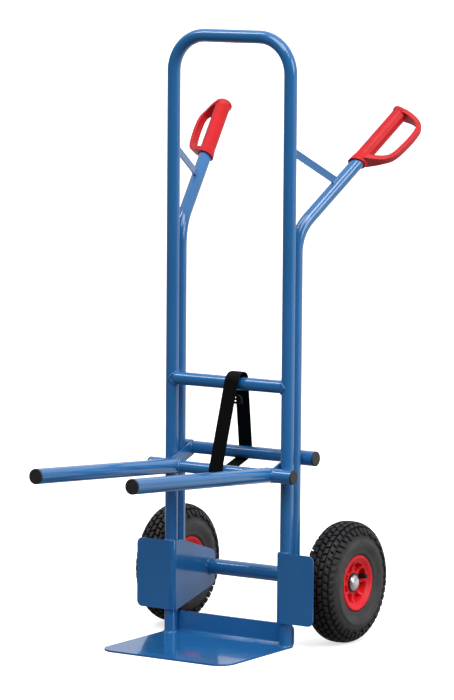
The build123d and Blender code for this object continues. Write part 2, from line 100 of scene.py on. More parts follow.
def material(name, **sockets):
    mat = bpy.data.materials.new(name)
    mat.use_nodes = True
    shader = mat.node_tree.nodes["Principled BSDF"]
    for key, value in sockets.items():
        shader.inputs[key.replace("_", " ")].default_value = value
    return mat


def feed(mat, socket, source):
    mat.node_tree.links.new(source, mat.node_tree.nodes["Principled BSDF"].inputs[socket])


def place(mat, stretch=(1, 1, 1), turn=(0, 0, 0), kind="Object"):
    coords = add(mat, "ShaderNodeTexCoord").outputs[kind]
    return add(mat, "ShaderNodeMapping", {"Vector": coords, "Scale": stretch, "Rotation": turn}).outputs[0]


def noise(mat, scale, detail=2.0, where=None, rough=0.5):
    inputs = {"Scale": scale, "Detail": detail, "Roughness": rough, "Vector": where or place(mat)}
    return add(mat, "ShaderNodeTexNoise", inputs).outputs["Fac"]


def ramp(mat, source, stops):
    """Colour ramp from (position, colour) stops in rising order; a plain number is a grey."""
    node = add(mat, "ShaderNodeValToRGB", {"Fac": source})
    elements = node.color_ramp.elements
    while len(elements) < len(stops):
        elements.new(0.5)
    for element, (position, colour) in zip(elements, stops):
        rgb = colour if isinstance(colour, tuple) else (colour,) * 3
        element.position = position
        element.color = (*rgb, 1)
    return node.outputs["Color"]


def mixed(mat, share, a, b):
    """Blends colours a and b; 0, 6 and 7 are the share and the two colour inputs of the node."""
    node = add(mat, "ShaderNodeMix", data_type="RGBA")
    for index, value in ((0, share), (6, a), (7, b)):
        if isinstance(value, bpy.types.NodeSocket):
            mat.node_tree.links.new(value, node.inputs[index])
        else:
            node.inputs[index].default_value = value if index == 0 else (*value, 1)
    return node.outputs[2]


def bumped(mat, *layers):
    """Stacks (height socket, depth in metres) layers into one normal."""
    normal = None
    for height, depth in layers:
        inputs = {"Height": height, "Distance": depth, "Strength": 1.0}
        if normal is not None:
            inputs["Normal"] = normal
        normal = add(mat, "ShaderNodeBump", inputs).outputs["Normal"]
    feed(mat, "Normal", normal)


# ---------------------------------------------------------------- materials

PAINT_DEEP = (0.018, 0.152, 0.400)
PAINT_LIGHT = (0.024, 0.172, 0.450)
PAINT_WORN = (0.06, 0.17, 0.38)
# Near-black tread colour: painted shade for the shadow among the tread blocks, not the rubber's own colour.
TREAD_PAINTED_SHADE = (0.017, 0.016, 0.018)
SIDE_WALL_END = 92 * MM
TREAD_START = 106 * MM


def powder_coat(name, scuffs):
    """Glossy blue powder coat: light orange peel, slow colour drift, and faint handling scuffs."""
    mat = material(name, Coat_Weight=0.7, Coat_Roughness=0.05, Specular_IOR_Level=0.5)
    drift = noise(mat, 5, 3)
    base = ramp(mat, drift, [(0.35, PAINT_DEEP), (0.68, PAINT_LIGHT)])
    marks = noise(mat, 38, 5, place(mat, (1, 0.3, 1), (0, 0, 0.5)), 0.6)
    mask = ramp(mat, marks, [(0.62, 0.0), (0.78, scuffs)])
    feed(mat, "Base Color", mixed(mat, mask, base, PAINT_WORN))
    feed(mat, "Roughness", ramp(mat, noise(mat, 24, 3), [(0.35, 0.13), (0.7, 0.21)]))
    bumped(mat, (noise(mat, 260, 2), 0.012 * MM))
    return mat


def moulded_red(name, base, dark, rough, peel):
    """Red plastic with a slightly uneven skin and darker patches where hands or dirt rub."""
    mat = material(name, Specular_IOR_Level=0.32)
    patches = noise(mat, 28, 4)
    feed(mat, "Base Color", ramp(mat, patches, [(0.28, dark), (0.55, base)]))
    feed(mat, "Roughness", ramp(mat, noise(mat, 60, 3), [(0.3, rough), (0.7, rough + 0.12)]))
    bumped(mat, (noise(mat, 520, 3), peel))
    return mat


def rubber(name, low, high, rough, grain):
    """Black rubber with a grey bloom, dusty patches and a fine grain."""
    mat = material(name, Specular_IOR_Level=0.35)
    bloom = noise(mat, 22, 5, rough=0.6)
    feed(mat, "Base Color", ramp(mat, bloom, [(0.3, low), (0.7, high)]))
    feed(mat, "Roughness", ramp(mat, noise(mat, 90, 4), [(0.3, rough), (0.7, rough + 0.16)]))
    bumped(mat, (noise(mat, 700, 3), grain), (bloom, 0.15 * MM))
    return mat


def tyre_rubber(name):
    """Tyre rubber: grey bloom on the side walls; the tread crown is painted near-black, a painted shade for
    the shadow among its blocks.
    """
    mat = rubber(name, (0.034, 0.032, 0.033), (0.062, 0.059, 0.061), 0.46, 0.08 * MM)
    bloom = mat.node_tree.nodes["Principled BSDF"].inputs["Base Color"].links[0].from_socket
    offset = add(mat, "ShaderNodeVectorMath", {0: place(mat), 1: (0, AXLE.y, AXLE.z)},
                 operation="SUBTRACT").outputs[0]
    across = add(mat, "ShaderNodeVectorMath", {0: offset, 1: (0, 1, 1)}, operation="MULTIPLY").outputs[0]
    radius = add(mat, "ShaderNodeVectorMath", {0: across}, operation="LENGTH").outputs["Value"]
    share = add(mat, "ShaderNodeMapRange", {"Value": radius, 1: SIDE_WALL_END, 2: TREAD_START}).outputs[0]
    # Grey bloom on the side walls is the rubber's own colour; past the side wall it turns to the tread's
    # painted shade.
    feed(mat, "Base Color", mixed(mat, share, bloom, TREAD_PAINTED_SHADE))
    return mat


def black_plastic(name, low, high, rough):
    mat = material(name, Specular_IOR_Level=0.5)
    feed(mat, "Base Color", ramp(mat, noise(mat, 120, 4), [(0.3, low), (0.7, high)]))
    feed(mat, "Roughness", ramp(mat, noise(mat, 200, 2), [(0.3, rough), (0.7, rough + 0.15)]))
    bumped(mat, (noise(mat, 1100, 2), 0.05 * MM))
    return mat


def bright_metal(name, tint, rough):
    """Plated steel with fine brushing round the axle and a slight haze."""
    mat = material(name, Metallic=1.0)
    haze = noise(mat, 110, 4)
    feed(mat, "Base Color", ramp(mat, haze, [(0.3, tuple(0.82 * c for c in tint)), (0.7, tint)]))
    brush = noise(mat, 600, 2, place(mat, (0.08, 1, 1)))
    feed(mat, "Roughness", ramp(mat, brush, [(0.3, rough), (0.7, rough + 0.14)]))
    bumped(mat, (brush, 0.012 * MM))
    return mat


def webbing(name):
    """Black webbing: slanting ribs crossed by rows, read from the strap's own UV map; the colour is painted
    darker in the weave's hollows, a painted shade.
    """
    mat = material(name, Sheen_Weight=0.04, Sheen_Roughness=0.4, Specular_IOR_Level=0.12)
    flat = place(mat, kind="UV")
    ribs = add(mat, "ShaderNodeTexWave", {"Vector": flat, "Scale": 210.0, "Distortion": 0.4},
               bands_direction="DIAGONAL").outputs["Fac"]
    rows = add(mat, "ShaderNodeTexWave", {"Vector": flat, "Scale": 130.0, "Distortion": 0.2},
               bands_direction="X").outputs["Fac"]
    weave = add(mat, "ShaderNodeMath", {0: ribs, 1: rows}, operation="MULTIPLY").outputs[0]
    # Painted shade: the colour follows the weave's height, darker in its hollows and lighter on the ribs.
    shade = ramp(mat, weave, [(0.1, (0.0012, 0.0011, 0.0012)), (0.8, (0.0045, 0.0042, 0.0045))])
    feed(mat, "Base Color", shade)
    feed(mat, "Roughness", ramp(mat, noise(mat, 300, 3), [(0.3, 0.62), (0.7, 0.8)]))
    bumped(mat, (weave, 0.35 * MM), (noise(mat, 900, 2), 0.06 * MM))
    return mat


MATERIALS = {
    "blue_paint": powder_coat("powder_coat_blue", 0.06),
    "grip": moulded_red("grip_red", (0.64, 0.004, 0.010), (0.54, 0.003, 0.008), 0.34, 0.03 * MM),
    "rim": moulded_red("rim_red", (0.84, 0.014, 0.024), (0.72, 0.010, 0.019), 0.36, 0.06 * MM),
    "tyre": tyre_rubber("tyre_rubber"),
    "inner_tube": rubber("tube_rubber", (0.010, 0.010, 0.011), (0.018, 0.018, 0.019), 0.5, 0.04 * MM),
    "valve": rubber("valve_rubber", (0.006, 0.006, 0.007), (0.012, 0.012, 0.013), 0.38, 0.04 * MM),
    "bearing": black_plastic("bearing_black", (0.006, 0.006, 0.007), (0.013, 0.013, 0.014), 0.35),
    "end_cap": black_plastic("cap_black", (0.013, 0.012, 0.012), (0.024, 0.022, 0.022), 0.40),
    "cap_metal": bright_metal("push_cap_steel", (0.82, 0.83, 0.85), 0.16),
    "steel": bright_metal("shaft_steel", (0.60, 0.60, 0.61), 0.28),
    "zinc": bright_metal("zinc_plate", (0.70, 0.71, 0.72), 0.30),
    "webbing": webbing("webbing_black"),
    "buckle": black_plastic("buckle_black", (0.0016, 0.0016, 0.0018), (0.004, 0.004, 0.0045), 0.50),
}
MATERIALS["plate_paint"] = powder_coat("powder_coat_plate", 0.15)


def paint_nodes():
    """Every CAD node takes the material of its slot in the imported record."""
    for name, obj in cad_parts.items():
        slot_name = obj.material_slots[0].material.name.split(".")[0]
        mat = MATERIALS["plate_paint"] if name == "toe_plate" else MATERIALS[slot_name]
        for part in obj.material_slots:
            part.material = mat


# ---------------------------------------------------------------- mesh helpers

def piece(bm, name, slot_name, body, replaces=(), sharp=40):
    """Turns a bmesh into a shown piece: smooth but for sharp edges, riding on a CAD body if one is named."""
    bmesh.ops.recalc_face_normals(bm, faces=bm.faces)
    mesh = bpy.data.meshes.new(name)
    bm.to_mesh(mesh)
    bm.free()
    for polygon in mesh.polygons:
        polygon.use_smooth = True
    mesh.set_sharp_from_angle(angle=radians(sharp))
    obj = bpy.data.objects.new(name, mesh)
    bpy.context.scene.collection.objects.link(obj)
    mesh.materials.append(MATERIALS[slot_name])
    if replaces:
        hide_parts(*replaces)
    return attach(obj, body) if body else obj


def smooth_line(points, steps=6):
    """Catmull-Rom curve through points."""
    points = [Vector(p) for p in points]
    ends = [2 * points[0] - points[1]] + points + [2 * points[-1] - points[-2]]
    line = []
    for i in range(1, len(ends) - 2):
        p0, p1, p2, p3 = ends[i - 1:i + 3]
        for k in range(steps):
            t = k / steps
            line.append(0.5 * (2 * p1 + (p2 - p0) * t + (2 * p0 - 5 * p1 + 4 * p2 - p3) * t ** 2
                               + (3 * p1 - p0 - 3 * p2 + p3) * t ** 3))
    return line + [points[-1]]


def step(value, low, high):
    t = min(max((value - low) / (high - low), 0.0), 1.0)
    return t * t * (3 - 2 * t)


def skin(bm, rings, closed_rings=True, closed_ends=False):
    """Quads between rings of vertices, each ring a closed loop; the last ring can join the first."""
    count = len(rings[0])
    last = len(rings) if closed_rings else len(rings) - 1
    for i in range(last):
        ring = rings[i]
        after = rings[(i + 1) % len(rings)]
        for j in range(count):
            bm.faces.new((ring[j], ring[(j + 1) % count], after[(j + 1) % count], after[j]))
    if closed_ends:
        bm.faces.new(rings[0])
        bm.faces.new(reversed(rings[-1]))


def tube_skin(bm, line, radii, sides, closed):
    """A tube of changing radius along a line, its section carried without twist."""
    count = len(line)
    rings = []
    normal = None
    for i in range(count):
        after = line[(i + 1) % count] if closed or i < count - 1 else line[i]
        before = line[i - 1] if closed or i > 0 else line[i]
        along = (after - before).normalized()
        if normal is None:
            normal = along.orthogonal().normalized()
        normal = (normal - along * normal.dot(along)).normalized()
        other = along.cross(normal)
        ring = []
        for k in range(sides):
            turn = tau * k / sides
            ring.append(bm.verts.new(line[i] + radii[i] * (normal * cos(turn) + other * sin(turn))))
        rings.append(ring)
    if closed:
        match = min(range(sides), key=lambda k: (rings[0][k].co - rings[-1][0].co).length)
        skin(bm, rings, closed_rings=False)
        shifted = rings[0][match:] + rings[0][:match]
        skin(bm, [rings[-1], shifted], closed_rings=False)
    else:
        skin(bm, rings, closed_rings=False, closed_ends=True)


# ---------------------------------------------------------------- weld beads

WELD_R = 2.9 * MM
WELD_STEP = 0.8 * MM
WELD_RIPPLE = 4.4 * MM
WELD_SIDES = 8
WELD_TAPER = 3 * MM
FOOT_WELD_R = 2.6 * MM
STITCH_R = 2.6 * MM
STITCH_HALF = 17 * MM
STITCH_APART = 2.2 * MM
SHEET_WELD_R = 1.9 * MM
LINK_WELD_R = 1.8 * MM
BRACE_WELD_R = 1.7 * MM
SLEEVE_WELD_R = 1.5 * MM
ARC_STEPS = 24


def resampled(points, spacing, closed):
    """Evenly spaced points along a path, and the path's length."""
    points = [Vector(p) for p in points]
    if closed:
        points.append(points[0])
    lengths = [0.0]
    for a, b in zip(points, points[1:]):
        lengths.append(lengths[-1] + (b - a).length)
    count = max(int(lengths[-1] / spacing), 4)
    line = []
    k = 0
    for i in range(count + (0 if closed else 1)):
        target = lengths[-1] * i / count
        while k < len(points) - 2 and lengths[k + 1] < target:
            k += 1
        share = (target - lengths[k]) / max(lengths[k + 1] - lengths[k], 1e-9)
        line.append(points[k].lerp(points[k + 1], share))
    return line, lengths[-1]


def bead(bm, points, closed=False, radius=WELD_R):
    """A fillet weld: overlapping ripples along a path, tapered at open ends."""
    line, length = resampled(points, WELD_STEP, closed)
    ripples = max(round(length / WELD_RIPPLE), 1)
    radii = []
    for i in range(len(line)):
        share = i / len(line)
        wave = abs(sin(pi * ripples * share))
        drift = 1 + 0.10 * sin(23 * share + 1) + 0.06 * sin(61 * share)
        taper = 1.0 if closed else min(1.0, 0.35 + 0.65 * min(share, 1 - share) * length / WELD_TAPER)
        radii.append(radius * (0.80 + 0.26 * wave) * drift * taper)
    tube_skin(bm, line, radii, WELD_SIDES, closed)


def arc(centre, radius, axis, start, end):
    """Points round a main axis; the angle runs from +Z towards +Y for X, and from +X towards +Y for Z."""
    points = []
    for i in range(ARC_STEPS + 1):
        angle = radians(start + (end - start) * i / ARC_STEPS)
        if axis == "X":
            points.append(Vector(centre) + radius * Vector((0, sin(angle), cos(angle))))
        else:
            points.append(Vector(centre) + radius * Vector((cos(angle), sin(angle), 0)))
    return points


# ---------------------------------------------------------------- handles and braces

HANDLE_DIRECTION = Vector((0.336, 1.199, 1)).normalized()
HANDLE_CORNER = Vector((UPRIGHT_X, UPRIGHT_Y + 2 * TUBE_R, 879 * MM))
BRACE_TOP = Vector((UPRIGHT_X, UPRIGHT_Y, 1054 * MM))
BRACE_ALONG_HANDLE = 156 * MM
BRACE_HALF_HEIGHT = 8 * MM
BRACE_HALF_T = 2 * MM
STITCH_ABOVE_FOOT = 24 * MM
STITCH_HEIGHTS = (260 * MM, 470 * MM, 700 * MM)
STITCH_UNDER_CORNER = 60 * MM


def to_side(points, side):
    return [Vector((side * p.x, p.y, p.z)) for p in points]


def hit_tube(start, direction, axis_point, axis, radius):
    """Where a line from outside first meets an endless tube."""
    axis = axis.normalized()
    d = direction.normalized()
    m = start - axis_point
    d_across = d - axis * d.dot(axis)
    m_across = m - axis * m.dot(axis)
    a = d_across.length_squared
    b = 2 * d_across.dot(m_across)
    c = m_across.length_squared - radius ** 2
    root = sqrt(max(b * b - 4 * a * c, 0.0))
    return start + d * ((-b - root) / (2 * a))


def brace_welds(bm, side):
    low = HANDLE_CORNER + HANDLE_DIRECTION * BRACE_ALONG_HANDLE
    along = (low - BRACE_TOP).normalized()
    level = along.cross(Vector((0, 0, 1))).normalized()
    rise = level.cross(along)
    halfway = (low + BRACE_TOP) / 2
    for direction, point, axis in ((-along, BRACE_TOP, Vector((0, 0, 1))), (along, low, HANDLE_DIRECTION)):
        loop = []
        for u, v in ((-1, -1), (1, -1), (1, 1), (-1, 1)):
            start = halfway + level * BRACE_HALF_T * u + rise * BRACE_HALF_HEIGHT * v
            loop.append(hit_tube(start, direction, point, axis, TUBE_R))
        bead(bm, to_side(loop, side), closed=True, radius=BRACE_WELD_R)


def handle_welds(bm, side):
    """Stitches on both sides of the line where the handle tube touches the upright."""
    foot_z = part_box("handle_tube_right")[0].z
    seam_y = UPRIGHT_Y + TUBE_R
    heights = (foot_z + STITCH_ABOVE_FOOT, *STITCH_HEIGHTS, HANDLE_CORNER.z - STITCH_UNDER_CORNER)
    for out in (-1, 1):
        x = UPRIGHT_X + out * STITCH_APART
        for z in heights:
            ends = [Vector((x, seam_y, z - STITCH_HALF)), Vector((x, seam_y, z + STITCH_HALF))]
            bead(bm, to_side(ends, side), radius=STITCH_R)


# ---------------------------------------------------------------- frame and carrier welds

SADDLE_STEPS = 48
ARM_X = 118 * MM
# Middle and radius of each crossbar, and the arc in degrees from its top that a link touches.
LINK_WELDS = ((FRONT_BAR, FRONT_BAR_R, 5, 130), (REAR_BAR, REAR_BAR_R, -175, -50))


def cross_tube_saddle(side):
    """Line where the middle tube meets the side of an upright."""
    points = []
    for i in range(SADDLE_STEPS):
        angle = tau * i / SADDLE_STEPS
        y = TUBE_R * sin(angle)
        x = UPRIGHT_X - sqrt(max(TUBE_R ** 2 - y ** 2, 0))
        points.append(Vector((side * x, UPRIGHT_Y + y, MID_TUBE_Z + TUBE_R * cos(angle))))
    return points


def frame_welds():
    for side, word in SIDES:
        bm = bmesh.new()
        bead(bm, cross_tube_saddle(side), closed=True)
        upright = (side * UPRIGHT_X, UPRIGHT_Y, PLATE_T)
        bead(bm, arc(upright, TUBE_R + 0.4 * MM, "Z", -200, 20), radius=FOOT_WELD_R)
        brace_welds(bm, side)
        handle_welds(bm, side)
        bracket_welds(bm, side)
        piece(bm, f"frame_welds_{word}", "blue_paint", "frame")


def bracket_welds(bm, side):
    """The axle tube through the side plate, and the guard's edges against the upright."""
    low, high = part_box("bracket_right")
    for x in (low.x, low.x + SHEET_T):
        bead(bm, arc((side * x, AXLE.y, AXLE.z), AXLE_TUBE_R + 0.3 * MM, "X", 0, 345), closed=True)
    for z in (low.z, high.z):
        ring = arc((side * UPRIGHT_X, UPRIGHT_Y, z), TUBE_R, "Z", -150, -30)
        bead(bm, ring, radius=SHEET_WELD_R)


def arm_weld(bm, side):
    """Round the sides of an arm's cut end on the front crossbar, and across its top and bottom."""
    arm_r = size("arm_cap_right").z / 2
    base_x = side * ARM_X
    for out in (-1, 1):
        centre = (base_x + out * (arm_r + 0.2 * MM), FRONT_BAR.y, FRONT_BAR.z)
        bead(bm, arc(centre, FRONT_BAR_R + 0.6 * MM, "X", -178, -2))
    for up in (-1, 1):
        z = FRONT_BAR.z + up * (FRONT_BAR_R + 0.8 * MM)
        bead(bm, [Vector((base_x - arm_r * 0.7, FRONT_BAR.y + 1 * MM, z)),
                  Vector((base_x + arm_r * 0.7, FRONT_BAR.y + 1 * MM, z))])


def link_weld(bm, side):
    """Both edges of a link's ends on the two crossbars."""
    x = side * middle("carrier_link_right").x
    half = size("carrier_link_right").x / 2
    for out in (-1, 1):
        for centre, radius, start, end in LINK_WELDS:
            spot = (x + out * (half + 0.4 * MM), centre.y, centre.z)
            bead(bm, arc(spot, radius + 0.4 * MM, "X", start, end), radius=LINK_WELD_R)


def carrier_welds():
    for side, word in SIDES:
        bm = bmesh.new()
        arm_weld(bm, side)
        link_weld(bm, side)
        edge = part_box("front_sleeve_right")[0].x
        for centre, radius in ((FRONT_BAR, FRONT_BAR_R), (REAR_BAR, REAR_BAR_R)):
            ring = arc((side * edge, centre.y, centre.z), radius + 0.5 * MM, "X", 0, 345)
            bead(bm, ring, closed=True, radius=SLEEVE_WELD_R)
        piece(bm, f"carrier_welds_{word}", "blue_paint", "carrier")


# ---------------------------------------------------------------- wheels

LATHE_SEGMENTS = 144
# Half sections in mm: (distance from the wheel's middle plane, radius).
CARCASS = [(28.3, 60.2), (31.0, 61.4), (33.2, 64.4), (33.9, 67.4), (34.6, 71), (36.0, 75), (37.9, 80),
           (38.9, 84.5), (39.2, 87), (38.9, 89.4), (37.0, 92.4), (35.6, 97), (33.6, 103), (30.6, 109),
           (26.6, 114.2), (21.4, 118.2), (14.5, 121.2), (8, 122.4), (0, 122.8)]
INNER_WALL = [(22, 56), (25.5, 67), (31.5, 78), (33.8, 88), (31, 99), (24, 109), (15, 116.5), (0, 118.5)]
TYRE_SEAT = [(22, 50.9), (28.3, 50.9)]
TREAD_TOP = [(0, 130), (10, 129.6), (20, 127), (28.8, 120.8), (35.2, 111.5), (38.2, 102.5), (38.8, 95.5)]
TREAD_COUNT = 46
TREAD_ROW_PITCH = 12.8 * MM
TREAD_ROWS = 5
TREAD_GROOVE = 4.4 * MM
TREAD_DEPTH = 7.0 * MM
TREAD_SKEW = 0.42
SHOULDER_LONG = 17.0 * MM
SHOULDER_SHORT = 12.5 * MM
SHOULDER_GAP = 1.3
SHOULDER_SKEW = 0.30
# How far a block's edge is drawn in, and how far under the tread line.
BLOCK_EDGE = ((-0.5 * MM, TREAD_DEPTH), (0, 0.9 * MM), (0.35 * MM, 0.25 * MM), (1.0 * MM, 0))


def wheel_place(side):
    """Places (distance outwards, radius, turn from the top) on a wheel."""
    centre = middle("tyre_right" if side > 0 else "tyre_left")
    return lambda a, r, turn: centre + Vector((side * a, r * sin(turn), r * cos(turn)))


def lathe(bm, profile, where, segments):
    """Turns a closed profile round the wheel's axis."""
    rings = []
    for j in range(segments):
        turn = tau * j / segments
        rings.append([bm.verts.new(where(a, r, turn)) for a, r in profile])
    skin(bm, rings)


def scaled(points):
    return [Vector((a * MM, r * MM)) for a, r in points]


def mirrored_profile(half):
    """A half section from the rim to the crown, and its mirror image back to the other side."""
    return half + [Vector((-p.x, p.y)) for p in reversed(half[:-1])]


class TreadLine:
    """The tread's outer line as a function of the distance from its middle."""

    def __init__(self):
        self.points = smooth_line(scaled(TREAD_TOP), 10)
        self.lengths = [0.0]
        for a, b in zip(self.points, self.points[1:]):
            self.lengths.append(self.lengths[-1] + (b - a).length)

    def at(self, s, depth):
        distance = min(abs(s), self.lengths[-1] - 1e-6)
        k = max(i for i, length in enumerate(self.lengths[:-1]) if length <= distance)
        a, b = self.points[k], self.points[k + 1]
        along = (b - a).normalized()
        normal = Vector((-along.y, along.x))
        point = a + along * (distance - self.lengths[k]) - normal * depth
        return (point.x if s >= 0 else -point.x), point.y


def tread_block(bm, line, where, span, turn, half_turn, skew, ends):
    """A block with drafted sides and a rounded top edge. span is its width across the tread."""
    rings = []
    for inset, depth in BLOCK_EDGE:
        low, high = span[0] + inset, span[1] - inset
        columns = [low + (high - low) * k / ends for k in range(ends + 1)]
        shrink = half_turn - inset / TYRE_R
        edge = []
        for sign, order in ((-1, columns), (1, columns[::-1])):
            for s in order:
                lean = skew * (s - (span[0] + span[1]) / 2) / TYRE_R
                a, r = line.at(s, depth)
                edge.append(bm.verts.new(where(a, r, turn + lean + sign * shrink)))
        rings.append(edge)
    skin(bm, rings, closed_rings=False)
    top, bottom = rings[-1], rings[0]
    count = len(top)
    for i in range(ends):
        bm.faces.new((top[i], top[i + 1], top[count - 2 - i], top[count - 1 - i]))
        bm.faces.new((bottom[count - 1 - i], bottom[count - 2 - i], bottom[i + 1], bottom[i]))


def tyre(side, word):
    where = wheel_place(side)
    bm = bmesh.new()
    outer = mirrored_profile(scaled(TYRE_SEAT) + smooth_line(scaled(CARCASS), 4))
    inner = mirrored_profile(smooth_line(scaled(INNER_WALL), 2))
    lathe(bm, outer + inner[::-1], where, LATHE_SEGMENTS)
    line = TreadLine()
    pitch = tau / TREAD_COUNT
    gap = TREAD_GROOVE / TYRE_R
    half_rows = TREAD_ROWS // 2
    half = (TREAD_ROW_PITCH - TREAD_GROOVE) / 2
    for row in range(-half_rows, half_rows + 1):
        mid = row * TREAD_ROW_PITCH
        for i in range(TREAD_COUNT):
            turn = (i + 0.5 * (row % 2)) * pitch
            skew = TREAD_SKEW * (1 if row % 2 else -1)
            tread_block(bm, line, where, (mid - half, mid + half), turn, (pitch - gap) / 2, skew, 2)
    start = (half_rows + 0.5) * TREAD_ROW_PITCH + TREAD_GROOVE / 2
    for edge in (-1, 1):
        for i in range(TREAD_COUNT):
            turn = (i + 0.5 * ((half_rows + 1) % 2)) * pitch
            stop = start + (SHOULDER_LONG if i % 2 else SHOULDER_SHORT)
            span = (start, stop) if edge > 0 else (-stop, -start)
            half_turn = (pitch - SHOULDER_GAP * gap) / 2
            tread_block(bm, line, where, span, turn, half_turn, SHOULDER_SKEW * edge, 4)
    piece(bm, f"tyre_body_{word}", "tyre", f"wheel_{word}", [f"tyre_{word}"], sharp=35)


# Radii in mm at which the moulded face is drawn.
RIM_STATIONS = [17.5, 20.2, 23.2, 24.3, 24.9, 25.3, 25.7, 26.2, 27.2, 29.5, 32, 34.5, 37, 39.4, 41.2, 42.0,
                42.5, 42.9, 43.3, 43.8, 44.4, 45.2, 47, 49.5, 52, 54.5, 56.5, 57.6, 58.4, 59.0, 59.4]
RIM_BACK = [(30.2, 59.7), (28.9, 59.7), (28.4, 59.2), (28.4, 51.5), (27.8, 50.8), (0.15, 50.8),
            (0.15, 17.5)]
RIM_SEGMENTS = 288
RIM_RIBS = 8
RIB_HALF = 2.8 * MM
RIB_DIP = 2.0 * MM
POCKET_FLOOR = 11 * MM
HUB_FACE = 19.2 * MM
POCKET_TURN = radians(68)


def rim_face(r, turn):
    """How far the moulded face stands out at a place on it: hub, ribs, pockets and dished lip."""
    mm_r = r / MM
    lip = 25 + 7.4 * step(mm_r, 43, 57) - 2.6 * step(mm_r, 57.4, 59.6) ** 2
    top = HUB_FACE + (lip * MM - HUB_FACE) * step(mm_r, 27, 44)
    sector = tau / RIM_RIBS
    offset = (turn - POCKET_TURN) % sector - sector / 2
    off_rib = abs(r * sin(offset))
    pocket = step(off_rib, RIB_HALF, RIB_HALF + 1.3 * MM)
    pocket *= step(mm_r, 24.7, 26.1) * (1 - step(mm_r, 42.2, 43.7))
    rib_dip = RIB_DIP * step(mm_r, 26, 33) * (1 - step(mm_r, 37, 43))
    return top - pocket * (top - POCKET_FLOOR) - (1 - pocket) * rib_dip


def rim(side, word, half, half_word):
    """One moulded half of the rim; half is 1 for the outer one."""
    where = wheel_place(side)
    back = scaled(RIM_BACK)
    bm = bmesh.new()
    rings = []
    for j in range(RIM_SEGMENTS):
        turn = tau * j / RIM_SEGMENTS
        face = [(rim_face(r * MM, turn), r * MM) for r in RIM_STATIONS]
        rings.append([bm.verts.new(where(half * a, r, turn)) for a, r in face + back])
    skin(bm, rings)
    piece(bm, f"rim_{half_word}_shell_{word}", "rim", f"wheel_{word}", [f"rim_{half_word}_{word}"], sharp=50)


CAP_SEGMENTS = 64
# Outside of the cap in mm: (height over its seat, radius), from the rolled edge to the middle.
CAP_DOME = [(0, 16.9), (0.7, 17.0), (1.6, 16.5), (1.9, 15.6), (2.6, 15.1), (4.3, 13.6), (5.8, 10.6),
            (6.7, 6.6), (7.1, 3.0), (7.2, 0.05)]
CAP_WALL = 1.2


def push_cap(side, word):
    """Domed cap with a rolled edge, pressed on the end of the axle."""
    centre = middle(f"push_cap_{word}")
    low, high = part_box(f"push_cap_{word}")
    seat_x = low.x if side > 0 else high.x
    dome = smooth_line(CAP_DOME, 5)
    scale = (high.x - low.x) / (CAP_DOME[-1][0] * MM)
    profile = [(p.x * MM * scale, p.y * MM) for p in dome]
    for p in reversed(dome[4:]):
        profile.append((p.x * MM * scale * 0.8 - 0.2 * MM, max(p.y - CAP_WALL, 0.05) * MM))

    def where(a, r, turn):
        return Vector((seat_x + side * max(a, 0), centre.y + r * sin(turn), centre.z + r * cos(turn)))

    bm = bmesh.new()
    lathe(bm, profile, where, CAP_SEGMENTS)
    piece(bm, f"push_cap_dome_{word}", "cap_metal", "frame", [f"push_cap_{word}"], sharp=60)


# ---------------------------------------------------------------- strap and buckle

STRAP_T = 1.9 * MM
STRAP_GAP = 0.35 * MM
STRAP_HALF = 17.2 * MM
STRAP_BEND_R = 19.4 * MM
STRAP_BEND = Vector((UPRIGHT_Y - 3 * MM, MID_TUBE_Z + 4.5 * MM))
STRAP_TOP_X = 21.4 * MM
STRAP_LOW_X = -9.2 * MM
STRAP_SKEW = -0.027
STRAP_COLUMNS = 14
STRAP_BEND_STEP = 2.5 * MM
STRAP_LEG_STEP = 4 * MM
BUCKLE_FRAME_R = 2.5 * MM
BUCKLE_BAR_R = 2.2 * MM
BUCKLE_RIDGE = 0.35 * MM
BUCKLE_CORNER = 4 * MM
BUCKLE_SIDES = 10
BUCKLE_BAR_STEPS = 40


def tangent(c1, r1, c2, r2):
    """Ends of the outer tangent of two circles in the YZ plane, on the left of c1 to c2."""
    d = c2 - c1
    length = d.length
    slope = (r1 - r2) / length
    rise = sqrt(1 - slope ** 2)
    normal = Vector((d.x * slope - d.y * rise, d.y * slope + d.x * rise)) / length
    return c1 + r1 * normal, c2 + r2 * normal


def strap_path():
    """Middle line of the webbing round the middle tube and both crossbars, in (Y, Z)."""
    extra = STRAP_GAP + STRAP_T / 2
    circles = [(STRAP_BEND, STRAP_BEND_R + extra),
               (Vector((FRONT_BAR.y, FRONT_BAR.z)), FRONT_BAR_R + extra),
               (Vector((REAR_BAR.y, REAR_BAR.z)), REAR_BAR_R + extra)]
    ends = []
    for i in range(3):
        c1, r1 = circles[i]
        c2, r2 = circles[(i + 1) % 3]
        far, near = tangent(c2, r2, c1, r1)
        ends.append((near, far))
    line = []
    for i in range(3):
        centre, radius = circles[i]
        arrive = ends[i - 1][1] - centre
        leave = ends[i][0] - centre
        start = atan2(arrive.y, arrive.x)
        sweep = (atan2(leave.y, leave.x) - start) % tau
        count = max(int(sweep * radius / STRAP_BEND_STEP), 3)
        for k in range(count):
            angle = start + sweep * k / count
            line.append(centre + radius * Vector((cos(angle), sin(angle))))
        run = ends[i][1] - ends[i][0]
        steps = max(int(run.length / STRAP_LEG_STEP), 2)
        for k in range(steps):
            line.append(ends[i][0] + run * k / steps)
    return line


def strap_middle_x(y, z):
    """The loop leans to the right towards its top, and is a little askew from front to back."""
    top_z = STRAP_BEND.y + STRAP_BEND_R
    low_z = FRONT_BAR.z - FRONT_BAR_R
    share = (z - low_z) / (top_z - low_z)
    return STRAP_LOW_X + (STRAP_TOP_X - STRAP_LOW_X) * share + STRAP_SKEW * (y - UPRIGHT_Y)


